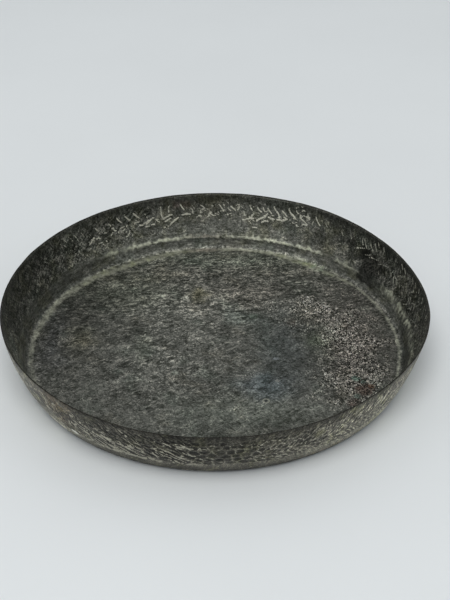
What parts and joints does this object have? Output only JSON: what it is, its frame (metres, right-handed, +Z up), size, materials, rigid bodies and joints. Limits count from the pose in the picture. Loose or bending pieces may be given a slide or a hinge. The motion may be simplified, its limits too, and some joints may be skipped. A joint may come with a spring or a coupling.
{
  "type": "paten plate",
  "caption": "Round, flat-bottomed, hand-raised copper dish with a flared wall, a plain cut rim and a wiped tin lining.",
  "frame": {"origin": "centre of the flat underside, on the surface that the dish stands on", "axes": "+Z up out of the open mouth; the dish is round about +Z, apart from slight ovality and a slightly uneven wall height; +X is the lower side of the rim and -X the higher"},
  "size_m": [0.3809, 0.3818, 0.0566],
  "materials": {
    "copper_body": "hammered copper sheet, aged to a dark olive grey-brown, satin, with paler rubbed hammer ridges",
    "tin_lining": "wiped tin, oxidised to a dark green-grey, dull satin, speckled, with some verdigris and worn spots"
  },
  "bodies": {
    "root": {"copper_body": "copper_body", "tin_lining": "tin_lining"}
  },
  "joints": []
}
